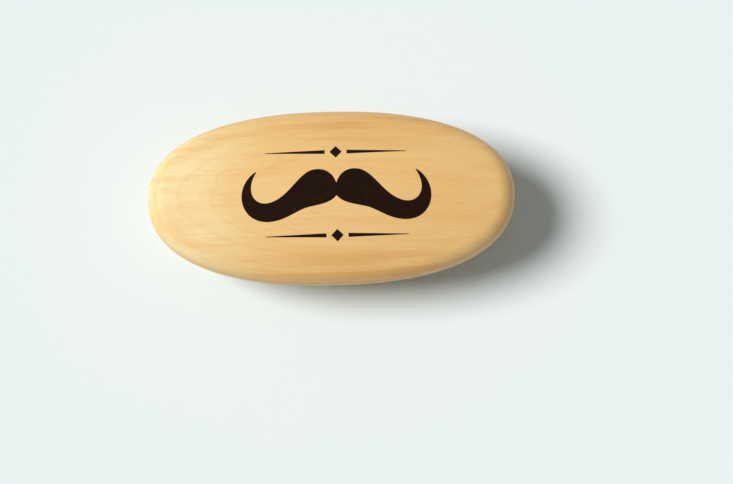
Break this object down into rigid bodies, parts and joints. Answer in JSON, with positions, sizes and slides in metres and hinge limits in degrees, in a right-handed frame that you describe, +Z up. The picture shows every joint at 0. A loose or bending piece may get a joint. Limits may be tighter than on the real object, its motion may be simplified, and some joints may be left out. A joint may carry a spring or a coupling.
{
  "type": "beard brush",
  "caption": "Palm beard brush: oval wooden block with straight rows of short natural bristle tufts, held by wire anchors.",
  "frame": {"origin": "under the centre of the block, on the plane of the trimmed bristle tips", "axes": "+X along the block's length, +Y across it, +Z up through the palm side, so the brush stands on its bristles"},
  "size_m": [0.115, 0.055, 0.035],
  "materials": {
    "wood": "satin clear lacquer",
    "bristle": "natural cream bristle, matte",
    "anchor_wire": "drawn flat wire"
  },
  "bodies": {
    "root": {"block": "wood", "tufts_row_01": "bristle", "tufts_row_02": "bristle", "tufts_row_03": "bristle", "tufts_row_04": "bristle", "tufts_row_05": "bristle", "tufts_row_06": "bristle", "tufts_row_07": "bristle", "tufts_row_08": "bristle", "tufts_row_09": "bristle", "tufts_row_10": "bristle", "tufts_row_11": "bristle", "anchors_row_01": "anchor_wire", "anchors_row_02": "anchor_wire", "anchors_row_03": "anchor_wire", "anchors_row_04": "anchor_wire", "anchors_row_05": "anchor_wire", "anchors_row_06": "anchor_wire", "anchors_row_07": "anchor_wire", "anchors_row_08": "anchor_wire", "anchors_row_09": "anchor_wire", "anchors_row_10": "anchor_wire", "anchors_row_11": "anchor_wire"}
  },
  "joints": []
}
